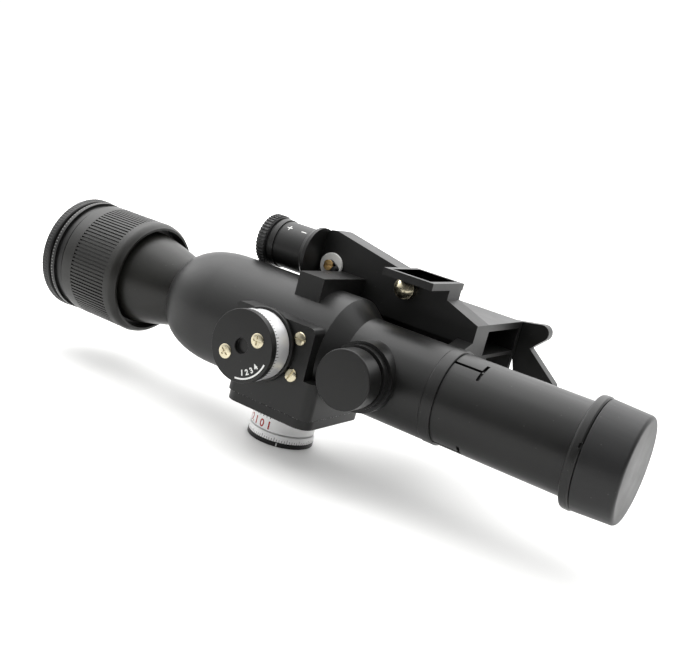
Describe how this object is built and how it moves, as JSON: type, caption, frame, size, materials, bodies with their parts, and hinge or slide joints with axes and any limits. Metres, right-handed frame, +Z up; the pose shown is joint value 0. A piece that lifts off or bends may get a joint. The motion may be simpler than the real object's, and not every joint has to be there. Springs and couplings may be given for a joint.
{
  "type": "illuminated telescopic sight",
  "caption": "Matt black telescopic sight with two turrets, zoom ring, sunshade, rubber objective cap, battery tube and side-rail bracket.",
  "frame": {"origin": "centre of the windage turret's end face, on which the sight lies", "axes": "+X along the optical axis towards the objective, -Y towards the elevation turret, +Z up, away from the windage turret"},
  "size_m": [0.2786, 0.1238, 0.0903],
  "materials": {
    "cast_black": "matt",
    "black_anodised": "matt",
    "knurled_plastic": "matt",
    "cap_rubber": "satin",
    "lens_glass": "polished",
    "satin_aluminium": "satin",
    "brass": "satin",
    "nickel": "polished",
    "seal_rubber": "matt",
    "bulb_glass": "polished",
    "cell_sleeve": "gloss",
    "white_nylon": "matt"
  },
  "bodies": {
    "scope_body": {"main_housing": "cast_black", "objective_tube": "black_anodised", "shade_collar": "black_anodised", "bayonet_pins": "black_anodised", "crown_lens": "lens_glass", "flint_lens": "lens_glass", "lens_lock_ring": "black_anodised", "reticle_ring": "satin_aluminium", "reticle_glass": "lens_glass", "erector_spring": "nickel", "elevation_base": "black_anodised", "block_screws": "nickel", "windage_base": "black_anodised", "windage_base_screws": "black_anodised", "lamp_holder": "brass", "lamp_bulb": "bulb_glass", "eyepiece_tube": "black_anodised", "bracket": "cast_black", "bracket_screws": "black_anodised", "battery_cells": "cell_sleeve", "battery_spring": "nickel", "switch_washer": "white_nylon", "switch_bolt": "brass", "lever_pivot": "nickel"},
    "sunshade": {"sunshade": "black_anodised"},
    "objective_cap": {"objective_cap": "cap_rubber"},
    "gimbal": {"gimbal_ring": "satin_aluminium"},
    "erector": {"erector_tube": "satin_aluminium"},
    "front_cell": {"front_cell": "brass", "front_cell_lens": "lens_glass"},
    "rear_cell": {"rear_cell": "brass", "rear_cell_lens": "lens_glass"},
    "elevation_knob": {"elevation_drum": "satin_aluminium", "elevation_scale": "satin_aluminium", "elevation_cap": "black_anodised", "elevation_cap_screws": "nickel", "elevation_spindle": "nickel"},
    "windage_knob": {"windage_drum": "satin_aluminium", "windage_scale": "satin_aluminium", "windage_cap": "black_anodised", "windage_cap_screws": "nickel", "windage_spindle": "nickel"},
    "lamp_seal": {"lamp_seal": "seal_rubber"},
    "lamp_cap": {"lamp_cap": "cast_black"},
    "zoom_ring": {"zoom_ring": "black_anodised"},
    "dioptre_ring": {"dioptre_ring": "black_anodised", "dioptre_scale": "satin_aluminium"},
    "eye_cell": {"eye_lens_cell": "black_anodised", "eye_lens": "lens_glass", "field_lens": "lens_glass"},
    "battery_seal": {"battery_seal": "seal_rubber"},
    "battery_cap": {"battery_cap": "knurled_plastic"},
    "switch_lever": {"switch_lever": "black_anodised"},
    "clamp_jaw": {"clamp_jaw": "black_anodised"},
    "tension_nut": {"tension_nut": "nickel"},
    "clamp_lever": {"clamp_lever": "cast_black"}
  },
  "joints": [
    {"name": "sunshade_slide", "type": "slide", "parent": "scope_body", "child": "sunshade", "axis": [1, 0, 0], "range_m": [0, 0.01]},
    {"name": "objective_cap_pull", "type": "slide", "parent": "sunshade", "child": "objective_cap", "axis": [1, 0, 0], "range_m": [0, 0.03]},
    {"name": "elevation_turn", "type": "hinge", "parent": "scope_body", "child": "elevation_knob", "pos_m": [0, -0.038, 0.0443], "axis": [0, -1, 0], "range_deg": [0, 345]},
    {"name": "windage_turn", "type": "hinge", "parent": "scope_body", "child": "windage_knob", "pos_m": [0, 0, 0.0063], "axis": [0, 0, -1], "range_deg": [-170, 170]},
    {"name": "erector_elevation", "type": "hinge", "parent": "scope_body", "child": "gimbal", "pos_m": [-0.048, 0, 0.0443], "axis": [0, 0, 1], "range_deg": [-0.8, 0.8]},
    {"name": "erector_windage", "type": "hinge", "parent": "gimbal", "child": "erector", "pos_m": [-0.048, 0, 0.0443], "axis": [0, 1, 0], "range_deg": [-0.8, 0.8]},
    {"name": "front_cell_slide", "type": "slide", "parent": "erector", "child": "front_cell", "axis": [1, 0, 0], "range_m": [-0.0105, 0.0005]},
    {"name": "rear_cell_slide", "type": "slide", "parent": "erector", "child": "rear_cell", "axis": [1, 0, 0], "range_m": [-0.0085, 0.0005]},
    {"name": "zoom_turn", "type": "hinge", "parent": "scope_body", "child": "zoom_ring", "pos_m": [-0.104, 0, 0.0443], "axis": [1, 0, 0], "range_deg": [0, 150]},
    {"name": "dioptre_turn", "type": "hinge", "parent": "scope_body", "child": "dioptre_ring", "pos_m": [-0.127, 0, 0.0443], "axis": [1, 0, 0], "range_deg": [-90, 90]},
    {"name": "eye_cell_slide", "type": "slide", "parent": "scope_body", "child": "eye_cell", "axis": [1, 0, 0], "range_m": [-0.0016, 0.0016]},
    {"name": "lamp_cap_lift", "type": "slide", "parent": "scope_body", "child": "lamp_seal", "axis": [0, -1, 0], "range_m": [-0.0001, 0.0021]},
    {"name": "lamp_cap_turn", "type": "hinge", "parent": "lamp_seal", "child": "lamp_cap", "pos_m": [0.041, -0.03, 0.0443], "axis": [0, -1, 0], "range_deg": [0, 720]},
    {"name": "battery_cap_lift", "type": "slide", "parent": "scope_body", "child": "battery_seal", "axis": [-1, 0, 0], "range_m": [-0.0001, 0.0021]},
    {"name": "battery_cap_turn", "type": "hinge", "parent": "battery_seal", "child": "battery_cap", "pos_m": [-0.037, 0.016, 0.0779], "axis": [-1, 0, 0], "range_deg": [0, 720]},
    {"name": "switch_swing", "type": "hinge", "parent": "scope_body", "child": "switch_lever", "pos_m": [-0.0067, 0.017, 0.0754], "axis": [0, -1, 0], "range_deg": [-25, 25]},
    {"name": "tension_nut_turn", "type": "hinge", "parent": "scope_body", "child": "tension_nut", "pos_m": [0.0314, 0.015, 0.0765], "axis": [0, -1, 0], "range_deg": [0, 720]},
    {"name": "clamp_jaw_slide", "type": "slide", "parent": "scope_body", "child": "clamp_jaw", "axis": [0, 1, 0], "range_m": [-0.002, 0]},
    {"name": "clamp_lever_swing", "type": "hinge", "parent": "scope_body", "child": "clamp_lever", "pos_m": [0.044, 0.074, 0.0633], "axis": [0, 1, 0], "range_deg": [-15, 95]}
  ],
  "couplings": [
    {"joint": "erector_elevation", "follows": "elevation_turn", "ratio": 0.0021739},
    {"joint": "erector_windage", "follows": "windage_turn", "ratio": 0.0044118},
    {"joint": "front_cell_slide", "follows": "zoom_turn", "m_per_rad": -0.0038197},
    {"joint": "rear_cell_slide", "follows": "zoom_turn", "m_per_rad": -0.0030558},
    {"joint": "eye_cell_slide", "follows": "dioptre_turn", "m_per_rad": 0.00095493},
    {"joint": "lamp_cap_lift", "follows": "lamp_cap_turn", "m_per_rad": 0.00015915},
    {"joint": "battery_cap_lift", "follows": "battery_cap_turn", "m_per_rad": 0.00015915},
    {"joint": "tension_nut_turn", "follows": "clamp_jaw_slide", "rad_per_m": -6283.2}
  ]
}
